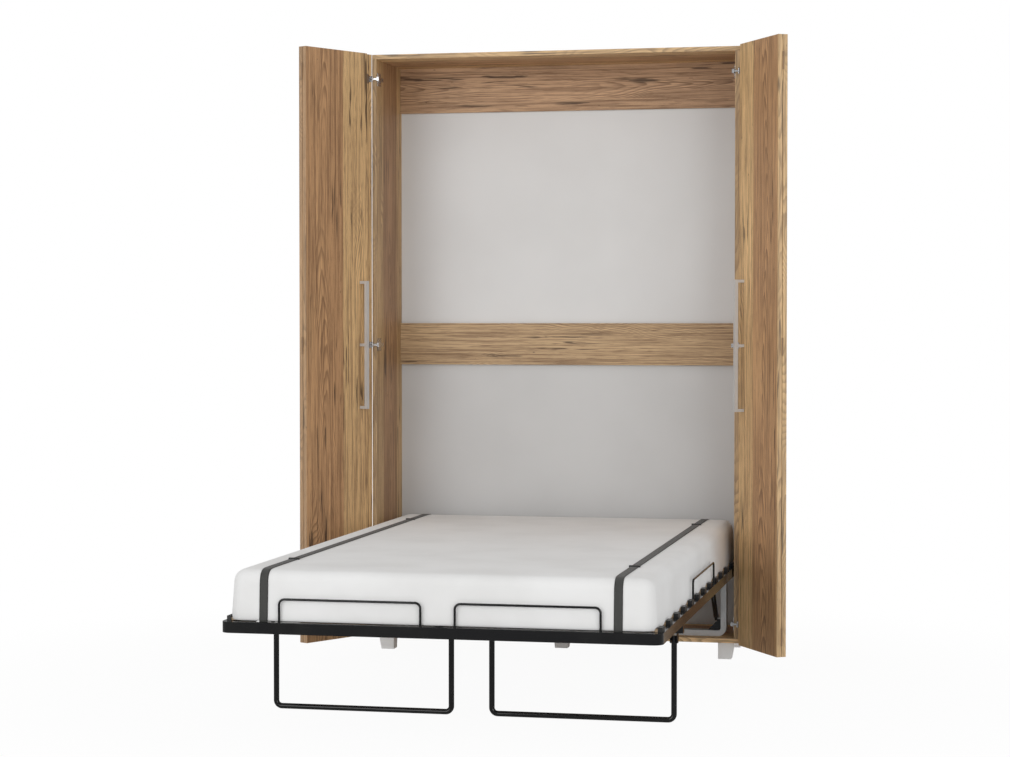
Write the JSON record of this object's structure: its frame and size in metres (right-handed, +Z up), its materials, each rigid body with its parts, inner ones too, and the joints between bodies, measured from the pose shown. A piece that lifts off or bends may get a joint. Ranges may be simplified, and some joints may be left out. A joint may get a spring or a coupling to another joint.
{
  "type": "wall bed",
  "caption": "Upright oak-decor wall bed: cabinet with two folding doors, a bed that folds down on side pivots with gas springs, mattress, straps and fold-out legs.",
  "frame": {"origin": "on the floor under the centre foot, in the middle of the cabinet's footprint", "axes": "+X to the right seen from the room, +Y from the room towards the wall, +Z up"},
  "size_m": [1.7105, 2.127, 2.16],
  "materials": {
    "oak": "printed oak decor on board, satin",
    "back_sheet": "pale grey coated fibreboard, matt",
    "grey_plastic": "light grey moulded plastic",
    "silver_steel": "silver grey powder coat",
    "black_steel": "gloss black powder coat",
    "zinc_steel": "zinc plated",
    "chrome": "bright plated, slightly satin on the handles",
    "black_plastic": "black moulded plastic",
    "beech": "pale laminated slats",
    "mattress_cloth": "off-white knitted cover",
    "webbing": "dark grey woven webbing"
  },
  "bodies": {
    "cabinet": {"cabinet_screws": "zinc_steel", "top_panel": "oak", "bottom_panel": "oak", "side_left": "oak", "side_right": "oak", "back_lower": "back_sheet", "back_upper": "back_sheet", "rear_rail_top": "oak", "rear_rail_middle": "oak", "foot_front_left": "grey_plastic", "foot_front_right": "grey_plastic", "foot_back_left": "grey_plastic", "foot_back_right": "grey_plastic", "foot_centre": "grey_plastic", "support_frame": "silver_steel", "support_gussets": "black_steel", "pivot_bolts": "black_steel", "hinge_arms_left": "chrome", "hinge_arms_right": "chrome", "spring_pins_post": "zinc_steel"},
    "bed": {"frame_left": "black_steel", "frame_right": "black_steel", "pivot_bushes": "zinc_steel", "frame_joiner": "zinc_steel", "head_bar": "black_steel", "centre_beam": "black_steel", "cross_bar": "black_steel", "slats": "beech", "slat_holders_side": "black_plastic", "slat_holders_centre": "black_plastic", "stop_foot_left": "black_steel", "stop_foot_right": "black_steel", "stop_side_left": "black_steel", "stop_side_right": "black_steel", "mattress": "mattress_cloth", "strap_left": "webbing", "strap_right": "webbing", "sliders_left": "black_plastic", "sliders_right": "black_plastic", "leg_brackets": "black_steel", "spring_brackets": "black_steel"},
    "leg_left": {"leg_left": "black_steel"},
    "door_left_outer": {"door_left_outer": "oak", "hinge_cups_left": "chrome", "fold_leaf_left_outer": "black_steel"},
    "door_left_inner": {"door_left_inner": "oak", "handle_left": "chrome", "fold_leaf_left_inner": "black_steel"},
    "spring_cylinder_left": {"spring_cylinder_left": "black_steel"},
    "spring_rod_left": {"spring_rod_left": "chrome"},
    "leg_right": {"leg_right": "black_steel"},
    "door_right_outer": {"door_right_outer": "oak", "hinge_cups_right": "chrome", "fold_leaf_right_outer": "black_steel"},
    "door_right_inner": {"door_right_inner": "oak", "handle_right": "chrome", "fold_leaf_right_inner": "black_steel"},
    "spring_cylinder_right": {"spring_cylinder_right": "black_steel"},
    "spring_rod_right": {"spring_rod_right": "chrome"}
  },
  "joints": [
    {"name": "bed_fold", "type": "hinge", "parent": "cabinet", "child": "bed", "pos_m": [0, -0.11, 0.309], "axis": [-1, 0, 0], "range_deg": [0, 90]},
    {"name": "leg_left_fold", "type": "hinge", "parent": "bed", "child": "leg_left", "pos_m": [-0.34084, -1.489, 0.251], "axis": [1, 0, 0], "range_deg": [0, 90]},
    {"name": "door_left_swing", "type": "hinge", "parent": "cabinet", "child": "door_left_outer", "pos_m": [-0.665, -0.198, 1.11], "axis": [0, 0, -1], "range_deg": [-4, 28]},
    {"name": "door_left_unfold", "type": "hinge", "parent": "door_left_outer", "child": "door_left_inner", "pos_m": [-0.83674, -0.50164, 1.11], "axis": [0, 0, -1], "range_deg": [0, 4]},
    {"name": "spring_left_tilt", "type": "hinge", "parent": "cabinet", "child": "spring_cylinder_left", "pos_m": [-0.582, -0.13072, 0.14027], "axis": [-1, 0, 0], "range_deg": [0, 45]},
    {"name": "spring_left_stroke", "type": "slide", "parent": "spring_cylinder_left", "child": "spring_rod_left", "axis": [0, -0.7133, 0.7009], "range_m": [0, 0.13011]},
    {"name": "leg_right_fold", "type": "hinge", "parent": "bed", "child": "leg_right", "pos_m": [0.34084, -1.489, 0.251], "axis": [1, 0, 0], "range_deg": [0, 90]},
    {"name": "door_right_swing", "type": "hinge", "parent": "cabinet", "child": "door_right_outer", "pos_m": [0.665, -0.198, 1.11], "axis": [0, 0, 1], "range_deg": [-4, 28]},
    {"name": "door_right_unfold", "type": "hinge", "parent": "door_right_outer", "child": "door_right_inner", "pos_m": [0.84723, -0.49546, 1.11], "axis": [0, 0, 1], "range_deg": [0, 4]},
    {"name": "spring_right_tilt", "type": "hinge", "parent": "cabinet", "child": "spring_cylinder_right", "pos_m": [0.582, -0.13072, 0.14027], "axis": [-1, 0, 0], "range_deg": [0, 45]},
    {"name": "spring_right_stroke", "type": "slide", "parent": "spring_cylinder_right", "child": "spring_rod_right", "axis": [0, -0.7133, 0.7009], "range_m": [0, 0.13011]}
  ],
  "couplings": [
    {"joint": "spring_left_tilt", "follows": "bed_fold", "ratio": 0.5},
    {"joint": "spring_left_stroke", "follows": "bed_fold", "m_per_rad": 0.082832},
    {"joint": "spring_right_tilt", "follows": "bed_fold", "ratio": 0.5},
    {"joint": "spring_right_stroke", "follows": "bed_fold", "m_per_rad": 0.082832}
  ]
}
